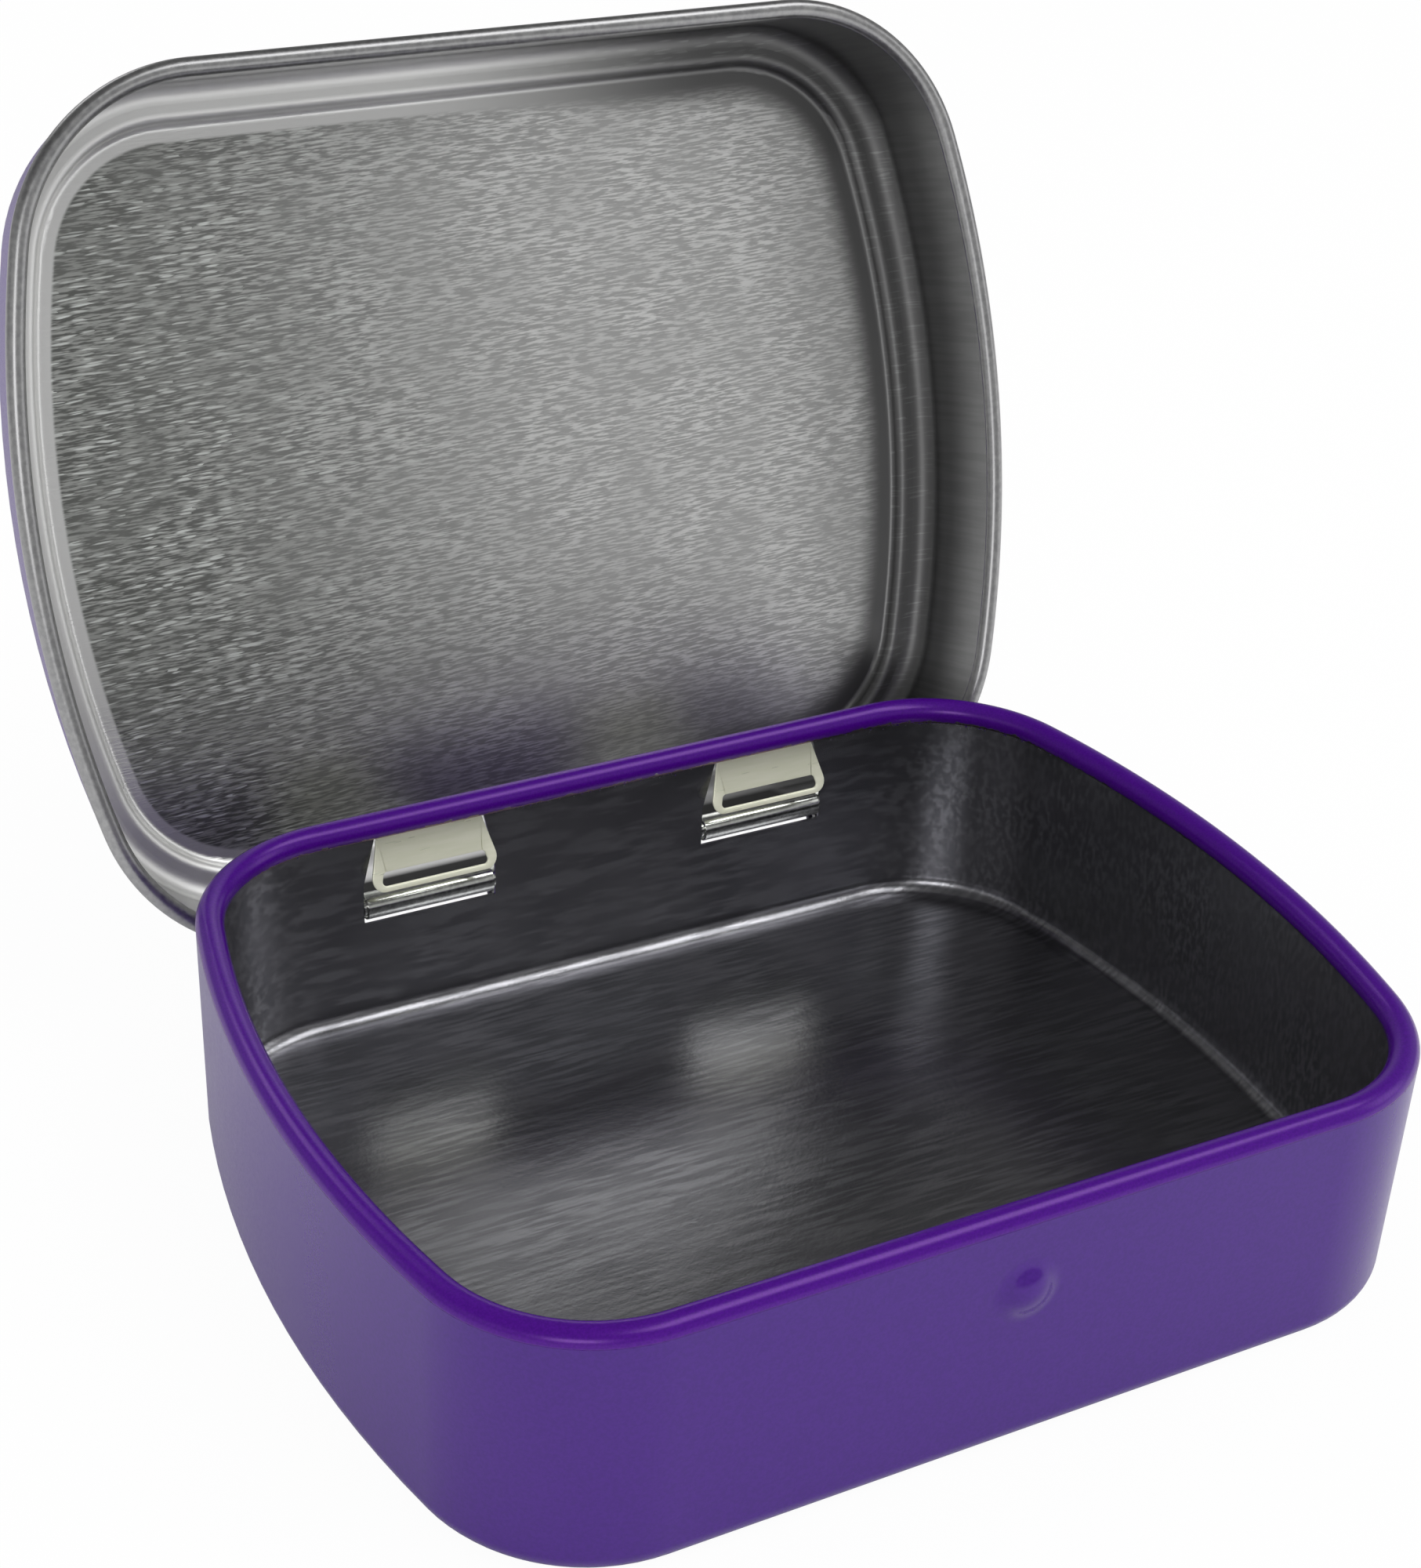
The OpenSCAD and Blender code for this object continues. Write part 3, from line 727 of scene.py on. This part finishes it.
# lamps, with places and sizes in m and power in W
lamps = [
    dict(name="highSoft", at=(0.27, -0.23, 0.62), size=(0.55, 0.24), power=1.4),
    dict(name="frontSoft", at=(-0.38, -0.60, 0.28), size=(0.30, 0.20), power=0.8),
    dict(name="backSoft", at=(-0.17, 0.62, 0.52), size=(0.40, 0.18), power=0.5),
    dict(name="leftSoft", at=(-0.66, -0.16, 0.22), size=(0.30, 0.30), power=0.05),
    dict(name="rightSoft", at=(0.62, -0.28, 0.26), size=(0.30, 0.40), power=0.4)]
target = Vector((0, 0.01, 0.02))
for lamp in lamps:
    light = bpy.data.lights.new(lamp["name"], "AREA")
    light.shape = "RECTANGLE"
    light.size, light.size_y = lamp["size"]
    light.energy = lamp["power"]
    holder = bpy.data.objects.new(lamp["name"], light)
    holder.location = lamp["at"]
    holder.rotation_euler = (target - holder.location).to_track_quat("-Z", "Y").to_euler()
    scene.collection.objects.link(holder)

# camera from the photograph's perspective: angles in degrees, place in mm, clip in m, and lens, centre
# and picture in picture points
shot = dict(azimuth=26.6, elevation=30.181, roll=1.471, place=(-96.338, -158.189, 145.985),
            lens=3311.85, centre=(785.02, 1015.95), picture=(1813, 2000), sensor=36.0, clip=(0.01, 20))


def makeCamera(look):
    around, down, roll = (math.radians(look[key]) for key in ("azimuth", "elevation", "roll"))
    ahead = Vector((math.sin(around) * math.cos(down), math.cos(around) * math.cos(down), -math.sin(down)))
    level = Vector((math.cos(around), -math.sin(around), 0))
    above = level.cross(ahead)
    right = level * math.cos(roll) + above * math.sin(roll)
    up = above * math.cos(roll) - level * math.sin(roll)
    turn = Matrix((right, up, -ahead)).transposed().to_4x4()
    data = bpy.data.cameras.new("photoCamera")
    wide, high = look["picture"]
    data.sensor_width = look["sensor"]
    data.lens = look["lens"] / high * look["sensor"]
    data.shift_x = (wide / 2 - look["centre"][0]) / high
    data.shift_y = (look["centre"][1] - high / 2) / high
    data.clip_start, data.clip_end = look["clip"]
    camera = bpy.data.objects.new("photoCamera", data)
    camera.matrix_world = Matrix.Translation(Vector(look["place"]) * mm) @ turn
    scene.collection.objects.link(camera)
    scene.camera = camera


makeCamera(shot)
scene.view_settings.view_transform = "Standard"
print("stage built")
